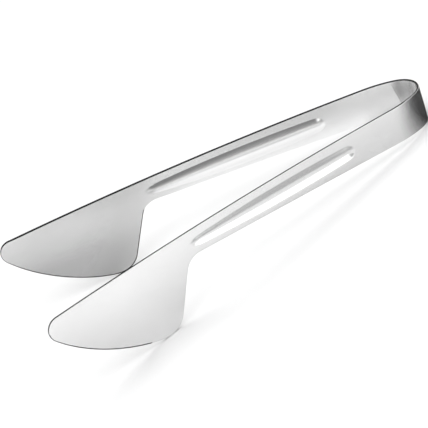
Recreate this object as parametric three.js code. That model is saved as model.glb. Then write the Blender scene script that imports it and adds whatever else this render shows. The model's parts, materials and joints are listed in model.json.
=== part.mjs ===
// Pastry tongs: one strip of thin stainless sheet, bent into a springy bow, with two grooved arms
// that widen into flat spatula blades. Millimetres, +Z up, +X towards the bow, +Y towards the left arm.
//
// The flat strip is described by two measures: "along", counted from the middle of the bow out to a
// blade's tip, and "height", counted from the strip's lower edge at the bow. A plan curve bends it.

import * as THREE from "three";

// Sheet and strip
const THICKNESS = 1.0;
const STRIP_WIDTH = 17.5;
const LOWER_EDGE_RISE = 0.0055; // per millimetre along
const TOP_EDGE_RADIUS = 1980; // the top edge is a very flat arc, level at the bow
const SPLIT_GAP = 0.3;

// Plan curve of each half: tight bow, wider shoulder, then a straight arm
const BOW_RADIUS = 12.4;
const BOW_TURN = THREE.MathUtils.degToRad(61.5);
const SHOULDER_RADIUS = 45.5;
const SHOULDER_TURN = THREE.MathUtils.degToRad(19.4);

// Where the strip is divided: at the point it flexes about, and at the neck of the blade
const FLEX_AT = 22;
const NECK_AT = 140.5;

// Pressed groove, sunk from the outside of each arm
const GROOVE_START = 50.3;
const GROOVE_END = 139.8;
const GROOVE_WIDEST = 85;
const GROOVE_HALF_WIDTH = 4.25;
const GROOVE_DEPTH = 1.3;
const GROOVE_TAPER_TO_BOW = 0.22;
const GROOVE_TAPER_TO_BLADE = 0.52;
const GROOVE_END_RUN = 4.5;
const GROOVE_BOTTOM_ROUNDING = 0.7;
const GROOVE_HEIGHT_AT_BOW = 8.5;
const GROOVE_HEIGHT_AT_BLADE = 6.0;
const GROOVE_LEAST_HALF_WIDTH = 0.3;

// Blade
const HEEL_ANGLE = THREE.MathUtils.degToRad(64.5);
const NECK_FILLET = 9.3;
const NECK_FILLET_START = 137;
const HEEL_RADIUS = 11.2;
const BLADE_DROP = 29.8; // lowest point of the blade under the strip's lower edge
const TIP_RADIUS = 6.3;
const TIP_CENTRE_AT = 208.7;
const BELLY_END_TURN = THREE.MathUtils.degToRad(49.3);
const BELLY_PULL_AT_HEEL = 8.7;
const BELLY_PULL_AT_TIP = 24;

// Fineness of the facets
const BOW_STEP = 0.9;
const ARM_STEP = 3.5;
const GROOVE_END_STEP = 0.75;
const GROOVE_ROWS = 10;
const OUTLINE_STEPS = 12;

// Steel
const steel = (name, roughness) =>
  new THREE.MeshStandardMaterial({ name, color: 0xd2d3d1, roughness, metalness: 1 });

// One step of the plan curve: from a point and heading, a distance along an arc of the given radius.
// Heading 0 points to the left, and a quarter turn points along the arm.
function alongArc(from, distance, radius) {
  const heading = from.heading + distance / radius;
  return {
    x: from.x + radius * (Math.cos(heading) - Math.cos(from.heading)),
    y: from.y + radius * (Math.sin(heading) - Math.sin(from.heading)),
    heading,
  };
}

function alongLine(from, distance) {
  return {
    x: from.x - distance * Math.sin(from.heading),
    y: from.y + distance * Math.cos(from.heading),
    heading: from.heading,
  };
}

const BOW_LENGTH = BOW_RADIUS * BOW_TURN;
const SHOULDER_LENGTH = SHOULDER_RADIUS * SHOULDER_TURN;
const bowMiddle = { x: 0, y: 0, heading: 0 };
const bowEnd = alongArc(bowMiddle, BOW_LENGTH, BOW_RADIUS);
const shoulderEnd = alongArc(bowEnd, SHOULDER_LENGTH, SHOULDER_RADIUS);

// Middle of the sheet, seen from above, at a distance along the left half of the strip.
function planCurve(along) {
  if (along < BOW_LENGTH) return alongArc(bowMiddle, along, BOW_RADIUS);
  if (along < BOW_LENGTH + SHOULDER_LENGTH) return alongArc(bowEnd, along - BOW_LENGTH, SHOULDER_RADIUS);
  return alongLine(shoulderEnd, along - BOW_LENGTH - SHOULDER_LENGTH);
}

// A point of the strip: outwards is measured from the middle of the sheet to the outside of the bow.
// Negative distances along give the right half.
function stripPoint(along, height, outwards) {
  const middle = planCurve(Math.abs(along));
  const side = Math.sign(along) || 1;
  return new THREE.Vector3(
    middle.x + outwards * Math.cos(middle.heading),
    side * (middle.y + outwards * Math.sin(middle.heading)),
    height,
  );
}

const topEdge = (along) => STRIP_WIDTH - along ** 2 / (2 * TOP_EDGE_RADIUS);
const straightLowerEdge = (along) => LOWER_EDGE_RISE * Math.abs(along);

// Centre of the fillet that leads from the arm's lower edge down into the blade's heel.
const neckFilletCentre = new THREE.Vector2(
  NECK_FILLET_START,
  straightLowerEdge(NECK_FILLET_START) - NECK_FILLET,
);

function lowerEdge(along) {
  const past = along - neckFilletCentre.x;
  if (past < 0) return straightLowerEdge(along);
  return neckFilletCentre.y + Math.sqrt(NECK_FILLET ** 2 - past ** 2);
}

// Share of the full groove at a distance from its nearer end: 0 at the end, 1 past the end run.
function grooveEndShare(along) {
  const fromEnd = Math.min(along - GROOVE_START, GROOVE_END - along);
  return THREE.MathUtils.clamp(fromEnd / GROOVE_END_RUN, 0, 1);
}

function grooveTaper(along) {
  const towardsBlade = along > GROOVE_WIDEST;
  const end = towardsBlade ? GROOVE_END : GROOVE_START;
  const taper = towardsBlade ? GROOVE_TAPER_TO_BLADE : GROOVE_TAPER_TO_BOW;
  const share = THREE.MathUtils.clamp((along - GROOVE_WIDEST) / (end - GROOVE_WIDEST), 0, 1);
  return 1 - taper * share ** 2;
}

function grooveHalfWidth(along) {
  const roundEnd = Math.sqrt(1 - (1 - grooveEndShare(along)) ** 2);
  return Math.max(GROOVE_HALF_WIDTH * grooveTaper(along) * roundEnd, GROOVE_LEAST_HALF_WIDTH);
}

function grooveHeight(along) {
  const share = THREE.MathUtils.clamp((along - GROOVE_START) / (GROOVE_END - GROOVE_START), 0, 1);
  return THREE.MathUtils.lerp(GROOVE_HEIGHT_AT_BOW, GROOVE_HEIGHT_AT_BLADE, share);
}

// Depth of the groove: a V with a rounded bottom. Across runs from -1 at its lower edge to 1 at its top.
function grooveDepth(along, across) {
  const endShare = grooveEndShare(along);
  const deepest = GROOVE_DEPTH * Math.sqrt(grooveTaper(along)) * endShare * (2 - endShare);
  const flank = Math.hypot(across, GROOVE_BOTTOM_ROUNDING) - GROOVE_BOTTOM_ROUNDING;
  const flankAtEdge = Math.hypot(1, GROOVE_BOTTOM_ROUNDING) - GROOVE_BOTTOM_ROUNDING;
  return deepest * (1 - flank / flankAtEdge);
}

// Distances from start to end in equal steps no longer than the given one.
function stations(start, end, step) {
  const count = Math.ceil((end - start) / step);
  return Array.from({ length: count + 1 }, (_, i) => start + ((end - start) * i) / count);
}

// Closed solid from two grids of points, the outside and the inside face of a piece of sheet.
// Each grid is a list of columns along the strip, and each column runs from the lower to the top edge.
function solidBetween(outside, inside) {
  const columns = outside.length;
  const rows = outside[0].length;
  const points = [...outside.flat(), ...inside.flat()];
  const outer = (column, row) => column * rows + row;
  const inner = (column, row) => columns * rows + column * rows + row;
  const triangles = [];
  const quad = (a, b, c, d) => triangles.push(a, b, c, a, c, d);
  for (let i = 0; i + 1 < columns; i++) {
    for (let j = 0; j + 1 < rows; j++) {
      quad(outer(i, j), outer(i + 1, j), outer(i + 1, j + 1), outer(i, j + 1));
      quad(inner(i, j), inner(i, j + 1), inner(i + 1, j + 1), inner(i + 1, j));
    }
    quad(outer(i, 0), inner(i, 0), inner(i + 1, 0), outer(i + 1, 0));
    quad(outer(i, rows - 1), outer(i + 1, rows - 1), inner(i + 1, rows - 1), inner(i, rows - 1));
  }
  for (let j = 0; j + 1 < rows; j++) {
    quad(outer(0, j), outer(0, j + 1), inner(0, j + 1), inner(0, j));
    quad(outer(columns - 1, j), inner(columns - 1, j), inner(columns - 1, j + 1), outer(columns - 1, j + 1));
  }
  const geometry = new THREE.BufferGeometry();
  geometry.setAttribute("position", new THREE.Float32BufferAttribute(points.flatMap((p) => p.toArray()), 3));
  geometry.setIndex(triangles);
  geometry.computeVertexNormals();
  return geometry;
}

// The bow: the U between the two places where the strip flexes.
function springBow() {
  const half = FLEX_AT - SPLIT_GAP / 2;
  const face = (outwards) =>
    stations(-half, half, BOW_STEP).map((along) =>
      [straightLowerEdge(along), topEdge(along)].map((height) => stripPoint(along, height, outwards)),
    );
  const bow = new THREE.Mesh(solidBetween(face(THICKNESS / 2), face(-THICKNESS / 2)), steel("bow steel", 0.3));
  bow.name = "spring_bow";
  return bow;
}

// Heights of one column of the arm's grid, each with the depth pressed in there.
function armColumn(along) {
  const middle = grooveHeight(along);
  const halfWidth = grooveHalfWidth(along);
  const column = [{ height: lowerEdge(along), depth: 0 }];
  for (let i = 0; i <= GROOVE_ROWS; i++) {
    const across = (2 * i) / GROOVE_ROWS - 1;
    column.push({ height: middle + across * halfWidth, depth: grooveDepth(along, across) });
  }
  column.push({ height: topEdge(along), depth: 0 });
  return column;
}

// An arm: the strip from the flexing point to the neck, with its groove.
function arm(name) {
  const start = FLEX_AT + SPLIT_GAP / 2;
  const end = NECK_AT - SPLIT_GAP / 2;
  const places = [
    ...stations(start, GROOVE_START, ARM_STEP),
    ...stations(GROOVE_START, GROOVE_START + GROOVE_END_RUN, GROOVE_END_STEP).slice(1),
    ...stations(GROOVE_START + GROOVE_END_RUN, GROOVE_END - GROOVE_END_RUN, ARM_STEP).slice(1),
    ...stations(GROOVE_END - GROOVE_END_RUN, GROOVE_END, GROOVE_END_STEP).slice(1),
    end,
  ];
  const face = (outwards) =>
    places.map((along) =>
      armColumn(along).map(({ height, depth }) => stripPoint(along, height, outwards - depth)),
    );
  const mesh = new THREE.Mesh(solidBetween(face(THICKNESS / 2), face(-THICKNESS / 2)), steel("arm steel", 0.35));
  mesh.name = name;
  return mesh;
}

// Flat outline of the blade, in distances along the strip and heights.
function bladeOutline() {
  const start = NECK_AT + SPLIT_GAP / 2;
  const neckLevel = straightLowerEdge(NECK_FILLET_START);
  const heelCorner = neckFilletCentre.x + NECK_FILLET * Math.tan(HEEL_ANGLE / 2)
    + (neckLevel + BLADE_DROP) / Math.tan(HEEL_ANGLE);
  const bottom = new THREE.Vector2(heelCorner + HEEL_RADIUS * Math.tan(HEEL_ANGLE / 2), -BLADE_DROP);
  const tipSlope = TIP_CENTRE_AT / TOP_EDGE_RADIUS;
  const tipCentre = new THREE.Vector2(TIP_CENTRE_AT, topEdge(TIP_CENTRE_AT) - TIP_RADIUS);
  const tipStart = new THREE.Vector2(Math.sin(BELLY_END_TURN), -Math.cos(BELLY_END_TURN))
    .multiplyScalar(TIP_RADIUS)
    .add(tipCentre);
  const tipEnd = new THREE.Vector2(Math.sin(tipSlope), Math.cos(tipSlope))
    .multiplyScalar(TIP_RADIUS)
    .add(tipCentre);

  const outline = new THREE.Shape();
  const filletStart = Math.acos((start - neckFilletCentre.x) / NECK_FILLET);
  const quarter = Math.PI / 2;
  outline.moveTo(start, lowerEdge(start));
  outline.absarc(neckFilletCentre.x, neckFilletCentre.y, NECK_FILLET, filletStart, quarter - HEEL_ANGLE, true);
  outline.absarc(bottom.x, bottom.y + HEEL_RADIUS, HEEL_RADIUS, -quarter - HEEL_ANGLE, -quarter, false);
  outline.bezierCurveTo(
    bottom.x + BELLY_PULL_AT_HEEL,
    bottom.y,
    tipStart.x - BELLY_PULL_AT_TIP * Math.cos(BELLY_END_TURN),
    tipStart.y - BELLY_PULL_AT_TIP * Math.sin(BELLY_END_TURN),
    tipStart.x,
    tipStart.y,
  );
  outline.absarc(tipCentre.x, tipCentre.y, TIP_RADIUS, BELLY_END_TURN - quarter, quarter - tipSlope, false);
  const topMiddle = (tipEnd.x + start) / 2;
  const topControl = tipEnd.y + ((tipEnd.x - topMiddle) * tipEnd.x) / TOP_EDGE_RADIUS;
  outline.quadraticCurveTo(topMiddle, topControl, start, topEdge(start));
  return outline;
}

// A blade: the flat outline given the sheet's thickness, and set on at the neck in line with the arm.
function blade(name) {
  const geometry = new THREE.ExtrudeGeometry(bladeOutline(), {
    depth: THICKNESS,
    bevelEnabled: false,
    curveSegments: OUTLINE_STEPS,
  });
  geometry.translate(-NECK_AT, 0, -THICKNESS / 2);
  const neck = planCurve(NECK_AT);
  const ahead = new THREE.Vector3(-Math.sin(neck.heading), Math.cos(neck.heading), 0);
  const up = new THREE.Vector3(0, 0, 1);
  const outwards = new THREE.Vector3().crossVectors(ahead, up);
  const mesh = new THREE.Mesh(geometry, steel("blade steel", 0.35));
  mesh.name = name;
  mesh.position.set(neck.x, neck.y, 0);
  mesh.quaternion.setFromRotationMatrix(new THREE.Matrix4().makeBasis(ahead, up, outwards));
  return mesh;
}

// One side of the tongs: an arm with its blade. The right side is the left one's mirror image.
function side(name, mirror) {
  const group = new THREE.Group();
  group.add(arm(`${name}_arm`), blade(`${name}_blade`));
  group.scale.y = mirror;
  return group;
}

// Tilt at which the bow's lower edge and both blades touch the table together: the steepest line from
// the bow's lowest corner to a point of the blades.
function restingTilt(tongs) {
  const corner = new THREE.Vector2(THICKNESS / 2, 0);
  const bladeMesh = tongs.getObjectByName("left_blade");
  bladeMesh.updateWorldMatrix(true, false);
  const points = bladeMesh.geometry.getAttribute("position");
  const point = new THREE.Vector3();
  let tilt = 0;
  for (let i = 0; i < points.count; i++) {
    point.fromBufferAttribute(points, i).applyMatrix4(bladeMesh.matrixWorld);
    tilt = Math.max(tilt, Math.atan2(corner.y - point.z, corner.x - point.x));
  }
  return tilt;
}

// The tongs standing on the table, with the origin under the middle of their bounding box.
function standOnTable(tongs) {
  tongs.rotation.y = restingTilt(tongs);
  const box = new THREE.Box3().setFromObject(tongs, true);
  const middle = box.getCenter(new THREE.Vector3());
  tongs.position.set(-middle.x, -middle.y, -box.min.z);
}

const strip = new THREE.Group();
strip.add(springBow(), side("left", 1), side("right", -1));
standOnTable(strip);

const pastryTongs = new THREE.Group();
pastryTongs.add(strip);

export default pastryTongs;
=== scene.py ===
import json
import math

import bmesh
import bpy
from mathutils import Matrix, Quaternion, Vector


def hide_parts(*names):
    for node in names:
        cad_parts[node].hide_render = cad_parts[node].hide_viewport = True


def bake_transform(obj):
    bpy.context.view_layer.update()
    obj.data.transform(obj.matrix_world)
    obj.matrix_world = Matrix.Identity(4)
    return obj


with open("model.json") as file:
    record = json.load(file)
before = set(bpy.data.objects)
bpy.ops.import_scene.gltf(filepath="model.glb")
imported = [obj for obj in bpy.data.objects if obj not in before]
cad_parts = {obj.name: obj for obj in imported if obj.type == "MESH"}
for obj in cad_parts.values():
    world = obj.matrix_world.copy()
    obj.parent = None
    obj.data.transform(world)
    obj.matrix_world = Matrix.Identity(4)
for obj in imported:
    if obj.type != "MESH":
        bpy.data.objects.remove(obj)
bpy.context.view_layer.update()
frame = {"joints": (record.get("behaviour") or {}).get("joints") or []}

# Lengths are in millimetres until a mesh is made. "Along" is counted on the strip from the middle of the
# bow out to a blade's tip, "height" from the strip's lower edge at the bow, and "outwards" from the
# middle of the sheet to the outside of the bow.
MILLIMETRE = 0.001

# Sheet and strip
THICKNESS = 1.0
STRIP_WIDTH = 17.5
LOWER_EDGE_RISE = 0.0055  # per millimetre along
TOP_EDGE_RADIUS = 1980.0  # the top edge is a very flat arc, level at the bow
FLEX_AT = 22.0
HINGE_HEIGHT = 8.7

# Cut edge: its rounding, and where it gets painted shade, a near-black steel standing in for the dark
# surroundings and shaded table that the edge mirrors
EDGE_ROUNDING = 0.3
BRIGHT_ROUNDING = 0.12  # left bright on the outer side of the top edge
SHADE_ON_INNER_HALF_UNTIL = 20.0  # up to here along, painted shade covers only the inner half of the top edge, and the outer half stays bright
PAINTED_SHADE_RIM_AT_BOW = 0.15
PAINTED_SHADE_RIM_AT_TIP = 0.35
PAINTED_SHADE_BELLY_START = 173.0
PAINTED_SHADE_HEEL_BELOW = -3.0

# Plan curve of each half: tight bow, wider shoulder, then a straight arm
BOW_RADIUS = 12.4
BOW_TURN = math.radians(61.5)
BOW_LENGTH = BOW_RADIUS * BOW_TURN
SHOULDER_RADIUS = 45.5
SHOULDER_TURN = math.radians(19.4)
SHOULDER_LENGTH = SHOULDER_RADIUS * SHOULDER_TURN

# Pressed groove
GROOVE_START = 50.3
GROOVE_END = 139.8
GROOVE_WIDEST = 85.0
GROOVE_HALF_WIDTH = 4.25
GROOVE_DEPTH = 1.3
GROOVE_TAPER_TO_BOW = 0.22
GROOVE_TAPER_TO_BLADE = 0.52
GROOVE_END_RUN = 4.5
GROOVE_BOTTOM_ROUNDING = 0.7
GROOVE_SHOULDER_ROUNDING = 0.05
GROOVE_HEIGHT_AT_BOW = 8.5
GROOVE_HEIGHT_AT_BLADE = 6.0

# Blade
HEEL_ANGLE = math.radians(64.5)
NECK_FILLET = 9.3
NECK_FILLET_START = 137.0
HEEL_RADIUS = 11.2
BLADE_DROP = 29.8
TIP_RADIUS = 6.3
TIP_CENTRE_AT = 208.7
BELLY_END_TURN = math.radians(49.3)
BELLY_PULL_AT_HEEL = 8.7
BELLY_PULL_AT_TIP = 24.0

# Fineness of the mesh along the strip
APEX_STEP = 0.1
APEX_END = 4 * APEX_STEP
BOW_STEP = 0.3
SHOULDER_STEP = 0.8
ARM_STEP = 1.25
GROOVE_END_STEP = 0.3
FINE_BEFORE_GROOVE = 2.0
FINE_INTO_GROOVE = 1.5 * GROOVE_END_RUN
OUTLINE_STEP = 0.3
BLADE_STEPS = 90

# Fineness of the mesh across the strip
GROOVE_ROWS = 24
GROOVE_ROWS_REACH = 1.25  # times the groove's half width
MARGIN_ROWS = 3
ROUNDING_STEPS = 3
EVEN_ROWS_AFTER = 6  # steps past the neck at which the rows begin to spread evenly over the blade
EVEN_ROWS_WITHIN = 20

# Small amounts
SLOPE_REACH = 0.01
LEAST_DEPTH = 0.001
WELD_DISTANCE = 0.0001 * MILLIMETRE
SHARP_ANGLE = math.radians(50)

# Steel, with scales counted per metre and the brushing's depth in metres
STEEL_COLOUR = (0.92, 0.92, 0.92, 1)
STEEL_ROUGHNESS = (0.2, 0.26)
BRUSHING_SCALE = (150, 9000, 1)
BRUSHING_STRENGTH = 0.15
BRUSHING_DEPTH = 0.00002
HANDLING_SCALE = 45.0
# Painted shade: the cut edges' near-black colour stands in for the dark that they mirror
PAINTED_EDGE_SHADE_COLOUR = (0.03, 0.03, 0.03, 1)
PAINTED_EDGE_SHADE_ROUGHNESS = 0.35
FLAT_PLACES = "along_and_height"

# Surroundings and camera, in metres
TABLE_COLOUR = 0.93
# Painted shade: the colour of the dark cards that put the table's shade into the steel's reflections
PAINTED_CARD_SHADE_COLOUR = 0.02
CARD_ROUGHNESS = 0.9
CARD_SPACING = 0.00005
CAMERA_PLACE = Vector((-0.079656, -0.864323, 0.486542))
CAMERA_RIGHT = Vector((0.827617, -0.317307, -0.462997))
CAMERA_UP = Vector((0.556816, 0.360166, 0.748489))
CAMERA_LENS = 180.19


def clamp(value, low, high):
    return min(max(value, low), high)


def lerp(start, end, share):
    return start + (end - start) * share


def even_steps(start, end, step):
    count = math.ceil((end - start) / step)
    return [lerp(start, end, i / count) for i in range(count)]


# Plan curve
def plan_curve(along):
    """Place and heading of the middle of the sheet, seen from above, for the left half."""
    bow_turn = min(along, BOW_LENGTH) / BOW_RADIUS
    turn = bow_turn + clamp(along - BOW_LENGTH, 0, SHOULDER_LENGTH) / SHOULDER_RADIUS
    line = max(along - BOW_LENGTH - SHOULDER_LENGTH, 0)
    x = BOW_RADIUS * (math.cos(bow_turn) - 1)
    x += SHOULDER_RADIUS * (math.cos(turn) - math.cos(bow_turn)) - line * math.sin(turn)
    y = BOW_RADIUS * math.sin(bow_turn)
    y += SHOULDER_RADIUS * (math.sin(turn) - math.sin(bow_turn)) + line * math.cos(turn)
    return x, y, turn


def strip_point(along, height, outwards, side):
    x, y, heading = plan_curve(along)
    return Vector((x + outwards * math.cos(heading), side * (y + outwards * math.sin(heading)), height))


def strip_to_part():
    """The transform from a point of the strip, in millimetres, to its place in the part, in metres."""
    joint = next(joint for joint in frame["joints"] if joint["name"] == "left_flex")
    up = Vector(joint["axis"]).normalized()
    towards_bow = Vector((up.z, 0, -up.x))
    left = Vector((0, 1, 0))
    x, y, _ = plan_curve(FLEX_AT)
    hinge = towards_bow * x + left * y + up * HINGE_HEIGHT
    origin = Vector(joint["pos_m"]) - hinge * MILLIMETRE
    turn = Matrix((towards_bow, left, up)).transposed().to_4x4()
    return Matrix.Translation(origin) @ turn @ Matrix.Scale(MILLIMETRE, 4)


# Outline of the flat strip
def top_edge(along):
    return STRIP_WIDTH - along**2 / (2 * TOP_EDGE_RADIUS)


def straight_lower_edge(along):
    return LOWER_EDGE_RISE * along


def edge_point(place, outward):
    """A point of the outline, with the direction in the sheet that leads out of it there."""
    return Vector(place), Vector(outward).normalized()


def arc_points(centre, radius, start, end, hollow=False):
    count = max(2, math.ceil(abs(end - start) * radius / OUTLINE_STEP))
    points = []
    for i in range(count):
        angle = lerp(start, end, i / count)
        ray = Vector((math.cos(angle), math.sin(angle)))
        points.append(edge_point(Vector(centre) + ray * radius, -ray if hollow else ray))
    return points


def belly_points(start, end):
    """The blade's underside: a free curve that leaves the heel level and meets the tip's round."""
    ahead = Vector((math.cos(BELLY_END_TURN), math.sin(BELLY_END_TURN)))
    pull_at_heel = start + Vector((BELLY_PULL_AT_HEEL, 0))
    pull_at_tip = end - ahead * BELLY_PULL_AT_TIP
    count = math.ceil((end - start).length / OUTLINE_STEP)
    points = []
    for i in range(count):
        t = i / count
        place = (
            start * (1 - t) ** 3
            + pull_at_heel * (3 * (1 - t) ** 2 * t)
            + pull_at_tip * (3 * (1 - t) * t**2)
            + end * t**3
        )
        slope = (
            (pull_at_heel - start) * (1 - t) ** 2
            + (pull_at_tip - pull_at_heel) * (2 * (1 - t) * t)
            + (end - pull_at_tip) * t**2
        )
        points.append(edge_point(place, (slope.y, -slope.x)))
    return points


def tip_centre():
    return Vector((TIP_CENTRE_AT, top_edge(TIP_CENTRE_AT) - TIP_RADIUS))


def tip_end():
    return edge_point(tip_centre() + Vector((TIP_RADIUS, 0)), (1, 0))


def lower_blade_edge():
    """The blade's outline from the neck, round the heel and along the belly, to the middle of the tip."""
    quarter = math.pi / 2
    neck_level = straight_lower_edge(NECK_FILLET_START)
    fillet_centre = Vector((NECK_FILLET_START, neck_level - NECK_FILLET))
    down_heel = Vector((math.cos(HEEL_ANGLE), -math.sin(HEEL_ANGLE)))
    out_of_heel = Vector((-math.sin(HEEL_ANGLE), -math.cos(HEEL_ANGLE)))
    heel_corner = (
        NECK_FILLET_START
        + NECK_FILLET * math.tan(HEEL_ANGLE / 2)
        + (neck_level + BLADE_DROP) / math.tan(HEEL_ANGLE)
    )
    bottom = Vector((heel_corner + HEEL_RADIUS * math.tan(HEEL_ANGLE / 2), -BLADE_DROP))
    heel_centre = bottom + Vector((0, HEEL_RADIUS))
    out_of_tip = Vector((math.sin(BELLY_END_TURN), -math.cos(BELLY_END_TURN)))
    heel_line_start = fillet_centre - out_of_heel * NECK_FILLET
    heel_line_end = heel_centre + out_of_heel * HEEL_RADIUS
    heel_line = (heel_line_end - heel_line_start).dot(down_heel)

    points = arc_points(fillet_centre, NECK_FILLET, quarter, quarter - HEEL_ANGLE, hollow=True)
    for distance in even_steps(0, heel_line, OUTLINE_STEP):
        points.append(edge_point(heel_line_start + down_heel * distance, out_of_heel))
    points += arc_points(heel_centre, HEEL_RADIUS, -quarter - HEEL_ANGLE, -quarter)
    points += belly_points(bottom, tip_centre() + TIP_RADIUS * out_of_tip)
    points += arc_points(tip_centre(), TIP_RADIUS, BELLY_END_TURN - quarter, 0)
    points.append(tip_end())
    return points


def upper_blade_edge():
    """The strip's top edge from above the neck to the middle of the tip."""
    slope = TIP_CENTRE_AT / TOP_EDGE_RADIUS
    round_start = TIP_CENTRE_AT + TIP_RADIUS * math.sin(slope)
    points = [
        edge_point((along, top_edge(along)), (along / TOP_EDGE_RADIUS, 1))
        for along in even_steps(NECK_FILLET_START, round_start, OUTLINE_STEP)
    ]
    points += arc_points(tip_centre(), TIP_RADIUS, math.pi / 2 - slope, 0)
    points.append(tip_end())
    return points


def spread_evenly(points, count):
    """The same run of outline as count + 1 points, evenly spaced along it."""
    distances = [0]
    for before, after in zip(points, points[1:]):
        distances.append(distances[-1] + (after[0] - before[0]).length)
    spread = []
    piece = 0
    for i in range(count + 1):
        wanted = distances[-1] * i / count
        while piece < len(points) - 2 and distances[piece + 1] < wanted:
            piece += 1
        share = (wanted - distances[piece]) / (distances[piece + 1] - distances[piece])
        place = points[piece][0].lerp(points[piece + 1][0], share)
        spread.append(edge_point(place, points[piece][1].lerp(points[piece + 1][1], share)))
    return spread


# Pressed groove
def groove_taper(along):
    towards_blade = along > GROOVE_WIDEST
    end = GROOVE_END if towards_blade else GROOVE_START
    taper = GROOVE_TAPER_TO_BLADE if towards_blade else GROOVE_TAPER_TO_BOW
    share = clamp((along - GROOVE_WIDEST) / (end - GROOVE_WIDEST), 0, 1)
    return 1 - taper * share**2


def groove_height(along):
    share = clamp((along - GROOVE_START) / (GROOVE_END - GROOVE_START), 0, 1)
    return lerp(GROOVE_HEIGHT_AT_BOW, GROOVE_HEIGHT_AT_BLADE, share)


def pressed_depth(along, height):
    """How far the sheet is pressed in: a V with a rounded bottom, soft shoulders and rounded ends."""
    into_groove = min(along - GROOVE_START, GROOVE_END - along)
    if into_groove < -GROOVE_END_RUN:
        return 0
    taper = groove_taper(along)
    across = (height - groove_height(along)) / (GROOVE_HALF_WIDTH * taper)
    reach = math.hypot(across, max(GROOVE_END_RUN - into_groove, 0) / GROOVE_END_RUN)
    flank = math.hypot(reach, GROOVE_BOTTOM_ROUNDING) - GROOVE_BOTTOM_ROUNDING
    flank_at_edge = math.hypot(1, GROOVE_BOTTOM_ROUNDING) - GROOVE_BOTTOM_ROUNDING
    share = 1 - flank / flank_at_edge
    softened = (share + math.hypot(share, GROOVE_SHOULDER_ROUNDING)) / 2
    return GROOVE_DEPTH * math.sqrt(taper) * softened


def face_point(along, height, offset, side):
    """A point of the sheet's face, half a thickness square off the pressed middle of the sheet."""
    depth = pressed_depth(along, height)
    if depth < LEAST_DEPTH:
        return strip_point(along, height, offset, side)
    before, after = (pressed_depth(along + reach, height) for reach in (-SLOPE_REACH, SLOPE_REACH))
    below, above = (pressed_depth(along, height + reach) for reach in (-SLOPE_REACH, SLOPE_REACH))
    slope_along = (after - before) / (2 * SLOPE_REACH)
    slope_up = (above - below) / (2 * SLOPE_REACH)
    square = Vector((slope_along, slope_up, 1)).normalized() * offset
    return strip_point(along + square.x, height + square.y, square.z - depth, side)


# Mesh of the strip
def row_shares(along, low, high):
    """Heights of the rows between the two edges as shares, gathered on the groove."""
    middle = (groove_height(along) - low) / (high - low)
    half = GROOVE_ROWS_REACH * GROOVE_HALF_WIDTH * groove_taper(along) / (high - low)
    shares = [(middle - half) * i / MARGIN_ROWS for i in range(MARGIN_ROWS)]
    shares += [middle - half + 2 * half * i / GROOVE_ROWS for i in range(GROOVE_ROWS)]
    shares += [lerp(middle + half, 1, i / MARGIN_ROWS) for i in range(MARGIN_ROWS + 1)]
    return shares


def arm_places():
    """Places along at which the strip has a column, from the middle of the bow to the neck."""
    shoulder_end = BOW_LENGTH + SHOULDER_LENGTH
    fine_start = GROOVE_START - FINE_BEFORE_GROOVE
    coarse_start = GROOVE_START + FINE_INTO_GROOVE
    coarse_end = GROOVE_END - FINE_INTO_GROOVE
    places = even_steps(0, APEX_END, APEX_STEP)
    places += even_steps(APEX_END, BOW_LENGTH, BOW_STEP)
    places += even_steps(BOW_LENGTH, shoulder_end, SHOULDER_STEP)
    places += even_steps(shoulder_end, fine_start, ARM_STEP)
    places += even_steps(fine_start, coarse_start, GROOVE_END_STEP)
    places += even_steps(coarse_start, coarse_end, ARM_STEP)
    places += even_steps(coarse_end, NECK_FILLET_START, GROOVE_END_STEP)
    return places


def strip_columns():
    """Pairs of points on the lower and the top edge, with the shares of the rows between them."""
    columns = []
    for along in arm_places():
        lower = edge_point((along, straight_lower_edge(along)), (LOWER_EDGE_RISE, -1))
        upper = edge_point((along, top_edge(along)), (along / TOP_EDGE_RADIUS, 1))
        columns.append((lower, upper, row_shares(along, lower[0].y, upper[0].y)))
    lower_edge = spread_evenly(lower_blade_edge(), BLADE_STEPS)
    upper_edge = spread_evenly(upper_blade_edge(), BLADE_STEPS)
    neck_shares = row_shares(NECK_FILLET_START, lower_edge[0][0].y, upper_edge[0][0].y)
    last_row = len(neck_shares) - 1
    for i, (lower, upper) in enumerate(zip(lower_edge, upper_edge)):
        evenness = clamp((i - EVEN_ROWS_AFTER) / EVEN_ROWS_WITHIN, 0, 1)
        shares = [lerp(share, j / last_row, evenness) for j, share in enumerate(neck_shares)]
        columns.append((lower, upper, shares))
    return columns


def cut_edge_profile():
    """The sheet's cut edge from its outside to its inside: how far out each point lies, and its offset."""
    flat = THICKNESS / 2 - EDGE_ROUNDING
    turns = [math.pi / 2 * i / ROUNDING_STEPS for i in range(1, ROUNDING_STEPS + 1)]
    outside = [(EDGE_ROUNDING * (math.sin(a) - 1), flat + EDGE_ROUNDING * math.cos(a)) for a in turns]
    return outside + [(reach, -offset) for reach, offset in reversed(outside)]


def face_rows(low, high, shares, rim_width):
    """Places of the rows from one edge's rounding to the other's, with a narrow rim along each."""
    face_height = max((high - low).length, rim_width)
    rim = min(rim_width / face_height, shares[1] / 2, (1 - shares[-2]) / 2)
    return [low.lerp(high, share) for share in (0, rim, *shares[1:-1], 1 - rim, 1)]


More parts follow.
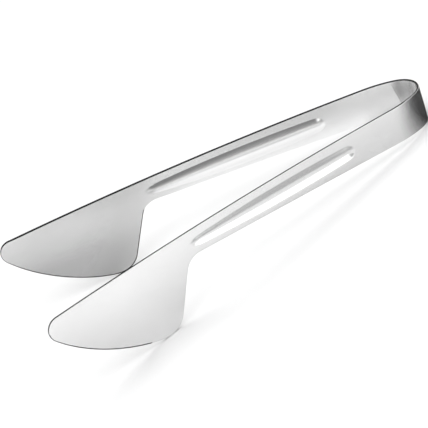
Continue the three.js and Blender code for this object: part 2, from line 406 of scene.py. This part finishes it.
def ring_round(column):
    """Closed ring round the sheet at a column: places on the flat strip, each with its offset and whether
    the sheet gets painted shade there. It goes on the top edge with its inner rim, and the blade's heel
    and belly."""
    (low, out_of_low), (high, out_of_high), shares = column
    face_low = low - out_of_low * EDGE_ROUNDING
    face_high = high - out_of_high * EDGE_ROUNDING
    rim_width = lerp(PAINTED_SHADE_RIM_AT_BOW, PAINTED_SHADE_RIM_AT_TIP, low.x / TIP_CENTRE_AT)
    rows = face_rows(face_low, face_high, shares, rim_width)
    profile = cut_edge_profile()
    bright_from = 0 if high.x < SHADE_ON_INNER_HALF_UNTIL else THICKNESS / 2 - BRIGHT_ROUNDING
    # Painted shade on the heel and belly, where the edges mirror the shaded table
    inner_side_shaded = low.y < PAINTED_SHADE_HEEL_BELOW or low.x > PAINTED_SHADE_BELLY_START
    outer_side_shaded = low.x > PAINTED_SHADE_BELLY_START

    ring = [(rows[0], THICKNESS / 2, outer_side_shaded)]
    ring += [(row, THICKNESS / 2, False) for row in rows[1:]]
    ring += [(high + out_of_high * reach, offset, offset < bright_from) for reach, offset in profile]
    ring.append((rows[-1], -THICKNESS / 2, True))
    ring += [(row, -THICKNESS / 2, False) for row in reversed(rows[1:-1])]
    ring.append((rows[0], -THICKNESS / 2, inner_side_shaded))
    for reach, offset in reversed(profile):
        ring.append((low + out_of_low * reach, offset, inner_side_shaded if offset < 0 else outer_side_shaded))
    return ring


def join_rings(shape, rings, shade_painted_corners):
    """Skin between the rings, in the second steel, which paints shade, beside a corner marked for painted
    shade, and the wall across the bow.
    """
    for near, far in zip(rings, rings[1:]):
        for j in range(len(near)):
            k = (j + 1) % len(near)
            face = shape.faces.new((near[j], far[j], far[k], near[k]))
            face.material_index = int(not shade_painted_corners.isdisjoint(face.verts))
    shape.faces.new(rings[0])


def smooth_object(name, shape):
    """The finished skin as an object, shaded smoothly between its sharp edges."""
    for face in shape.faces:
        face.smooth = True
    bmesh.ops.remove_doubles(shape, verts=shape.verts, dist=WELD_DISTANCE)
    bmesh.ops.recalc_face_normals(shape, faces=shape.faces)
    mesh = bpy.data.meshes.new(name)
    shape.to_mesh(mesh)
    shape.free()
    mesh.set_sharp_from_angle(angle=SHARP_ANGLE)
    smooth = bpy.data.objects.new(name, mesh)
    bpy.context.collection.objects.link(smooth)
    even_out = smooth.modifiers.new("face weighted shading", "WEIGHTED_NORMAL")
    even_out.keep_sharp = True
    return smooth


def strip_half(name, side, to_part):
    """One half of the strip as a closed skin, from the middle of the bow to the blade's tip."""
    shape = bmesh.new()
    brushing = shape.loops.layers.uv.new(FLAT_PLACES)
    flat_places = {}
    # Corners that get the painted shade of the cut edge
    shade_painted_corners = set()
    rings = []
    for column in strip_columns():
        ring = []
        for place, offset, gets_painted_shade in ring_round(column):
            corner = shape.verts.new(to_part @ face_point(place.x, place.y, offset, side))
            flat_places[corner] = place * MILLIMETRE
            if gets_painted_shade:
                shade_painted_corners.add(corner)
            ring.append(corner)
        rings.append(ring)
    join_rings(shape, rings, shade_painted_corners)
    for face in shape.faces:
        for loop in face.loops:
            loop[brushing].uv = flat_places[loop.vert]
    return smooth_object(name, shape)


# Steel
def bare_steel(name, colour):
    material = bpy.data.materials.new(name)
    material.use_nodes = True
    surface = material.node_tree.nodes["Principled BSDF"]
    surface.inputs["Base Color"].default_value = colour
    surface.inputs["Metallic"].default_value = 1.0
    return material, surface


def noise(nodes, scale, detail):
    texture = nodes.new("ShaderNodeTexNoise")
    texture.inputs["Scale"].default_value = scale
    texture.inputs["Detail"].default_value = detail
    return texture


def satin_steel():
    """Steel with fine brushing along the strip, and slow changes in how matt it is."""
    material, surface = bare_steel("satin steel", STEEL_COLOUR)
    nodes = material.node_tree.nodes
    link = material.node_tree.links.new

    places = nodes.new("ShaderNodeUVMap")
    places.uv_map = FLAT_PLACES
    stretched = nodes.new("ShaderNodeMapping")
    stretched.inputs["Scale"].default_value = BRUSHING_SCALE
    brushing = noise(nodes, scale=1.0, detail=3.0)
    handling = noise(nodes, scale=HANDLING_SCALE, detail=2.0)
    link(places.outputs["UV"], stretched.inputs["Vector"])
    link(stretched.outputs["Vector"], brushing.inputs["Vector"])
    link(places.outputs["UV"], handling.inputs["Vector"])

    both = nodes.new("ShaderNodeMath")
    both.operation = "ADD"
    link(brushing.outputs["Fac"], both.inputs[0])
    link(handling.outputs["Fac"], both.inputs[1])
    # Each noise stays near a half, so their sum stays near one
    mattness = nodes.new("ShaderNodeMapRange")
    mattness.inputs["From Min"].default_value = 0.5
    mattness.inputs["From Max"].default_value = 1.5
    mattness.inputs["To Min"].default_value, mattness.inputs["To Max"].default_value = STEEL_ROUGHNESS
    link(both.outputs["Value"], mattness.inputs["Value"])
    link(mattness.outputs["Result"], surface.inputs["Roughness"])

    relief = nodes.new("ShaderNodeBump")
    relief.inputs["Strength"].default_value = BRUSHING_STRENGTH
    relief.inputs["Distance"].default_value = BRUSHING_DEPTH
    link(brushing.outputs["Fac"], relief.inputs["Height"])
    link(relief.outputs["Normal"], surface.inputs["Normal"])
    return material


def edge_steel_with_painted_shade():
    """Painted shade: near-black steel along the cut edge, darker than the faces, for the dark that the
    edge mirrors.
    """
    material, surface = bare_steel("painted shade on the cut edge", PAINTED_EDGE_SHADE_COLOUR)
    surface.inputs["Roughness"].default_value = PAINTED_EDGE_SHADE_ROUGHNESS
    return material


# The two halves, over the whole bow and shoulder, take the place of the bow, arm and blade parts
to_part = strip_to_part()
steels = (satin_steel(), edge_steel_with_painted_shade())
for name, side in (("left", 1), ("right", -1)):
    half = strip_half(f"{name}_half", side, to_part)
    for steel in steels:
        half.data.materials.append(steel)
    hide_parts("spring_bow", f"{name}_arm", f"{name}_blade")
    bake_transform(half)


# White table, pale room, and dark cards of painted shade, for the surroundings and the table's shade that
# the steel mirrors
def matt_card(name, middle, half_size, colour, facing=(0, 0, 1), turn=0):
    """A flat matt card that isn't part of the object."""
    bpy.ops.mesh.primitive_plane_add(size=2, location=middle)
    card = bpy.context.object
    card.name = name
    card.scale = (*half_size, 1)
    card.rotation_mode = "QUATERNION"
    turned = Vector((0, 0, 1)).rotation_difference(Vector(facing))
    card.rotation_quaternion = turned @ Quaternion((0, 0, 1), math.radians(turn))
    material = bpy.data.materials.new(name)
    material.use_nodes = True
    surface = material.node_tree.nodes["Principled BSDF"]
    surface.inputs["Base Color"].default_value = (colour, colour, colour, 1)
    surface.inputs["Roughness"].default_value = CARD_ROUGHNESS
    surface.inputs["Specular IOR Level"].default_value = 0.0
    card.data.materials.append(material)
    return card


def painted_shade_oval(name, middle, half_size, opacity, facing=(0, 0, 1), turn=0, core=0.0):
    """A dark oval card of painted shade near the tongs, soft outside its core, which only the steel's
    reflections see.
    """
    card = matt_card(name, middle, half_size, PAINTED_CARD_SHADE_COLOUR, facing, turn)
    card.visible_camera = False
    card.visible_diffuse = False
    card.visible_transmission = False
    card.visible_shadow = False
    tree = card.active_material.node_tree
    places = tree.nodes.new("ShaderNodeTexCoord")
    from_middle = tree.nodes.new("ShaderNodeVectorMath")
    from_middle.operation = "LENGTH"
    fading = tree.nodes.new("ShaderNodeMapRange")
    fading.interpolation_type = "SMOOTHSTEP"
    fading.inputs["From Min"].default_value = 1.0
    fading.inputs["From Max"].default_value = core
    fading.inputs["To Max"].default_value = opacity
    tree.links.new(places.outputs["Object"], from_middle.inputs[0])
    tree.links.new(from_middle.outputs["Value"], fading.inputs["Value"])
    tree.links.new(fading.outputs["Result"], tree.nodes["Principled BSDF"].inputs["Alpha"])


def room_light(at_horizon, overhead, even_above):
    """White light from all round, strongest at the horizon and even above a rise with the given sine."""
    world = bpy.data.worlds.new("room")
    world.use_nodes = True
    nodes = world.node_tree.nodes
    link = world.node_tree.links.new
    background = nodes["Background"]
    background.inputs["Color"].default_value = (1, 1, 1, 1)
    directions = nodes.new("ShaderNodeTexCoord")
    parts = nodes.new("ShaderNodeSeparateXYZ")
    falling = nodes.new("ShaderNodeMapRange")
    falling.inputs["From Max"].default_value = even_above
    falling.inputs["To Min"].default_value = at_horizon
    falling.inputs["To Max"].default_value = overhead
    link(directions.outputs["Generated"], parts.inputs["Vector"])
    link(parts.outputs["Z"], falling.inputs["Value"])
    link(falling.outputs["Result"], background.inputs["Strength"])
    bpy.context.scene.world = world


def soft_lamp(name, place, aim, size, power):
    lamp = bpy.data.lights.new(name, "AREA")
    lamp.shape = "RECTANGLE"
    lamp.size, lamp.size_y = size
    lamp.energy = power
    holder = bpy.data.objects.new(name, lamp)
    holder.location = place
    holder.rotation_mode = "QUATERNION"
    holder.rotation_quaternion = (Vector(aim) - Vector(place)).to_track_quat("-Z", "Y")
    bpy.context.collection.objects.link(holder)


matt_card("table_top", middle=(0, 0, 0), half_size=(4, 4), colour=TABLE_COLOUR)
room_light(at_horizon=0.58, overhead=0.17, even_above=0.4)
soft_lamp("overhead_light", place=(-0.1, 0, 3.0), aim=(-0.1, 0, 0), size=(5.0, 5.0), power=160)
soft_lamp("front_light", place=(0.72, -1.1, 0.34), aim=(0, 0, 0.05), size=(0.75, 0.7), power=1.8)

# Cards of painted shade on the table, for its shade around the tongs, each just above the last: place,
# half size, turn, core and opacity
table_shade_cards = {
    "painted_shade_under_front_arm": ((0.05, -0.039), (0.293, 0.05), 12.3, 0.0, 0.34),
    "painted_shade_close_to_front_arm": ((0.012, -0.037), (0.061, 0.01), 10, 0.73, 0.3),
    "painted_shade_between_blades": ((-0.11, 0.037), (0.117, 0.058), -33, 0.44, 0.59),
    "painted_shade_right_of_bow": ((0.129, 0.01), (0.061, 0.055), -22, 0.57, 0.95),
    "painted_shade_left_of_blades": ((-0.182, 0.073), (0.061, 0.263), 30, 0.14, 0.59),
    "painted_shade_before_arms": ((0.004, -0.158), (0.055, 0.181), -54.5, 0.74, 0.29),
}
for level, (name, (place, half_size, turn, core, opacity)) in enumerate(table_shade_cards.items(), start=2):
    painted_shade_oval(name, (*place, level * CARD_SPACING), half_size, opacity, turn=turn, core=core)
# Painted shade inside the bow, for the shade in its hollow, seen in the steel's reflections
painted_shade_oval(
    "painted_shade_inside_bow",
    middle=(0.0935, 0.005, 0.0115),
    half_size=(0.011, 0.0105),
    opacity=0.6,
    facing=(1, 0, 0),
    core=0.2,
)


# Camera
def camera():
    lens = bpy.data.cameras.new("camera")
    lens.lens = CAMERA_LENS
    lens.sensor_width = 36
    lens.clip_start, lens.clip_end = 0.05, 20
    holder = bpy.data.objects.new("camera", lens)
    back = CAMERA_RIGHT.cross(CAMERA_UP)
    turn = Matrix((CAMERA_RIGHT, CAMERA_UP, back)).transposed()
    holder.matrix_world = Matrix.Translation(CAMERA_PLACE) @ turn.to_4x4()
    bpy.context.collection.objects.link(holder)
    bpy.context.scene.camera = holder


camera()
bpy.context.scene.view_settings.view_transform = "Standard"
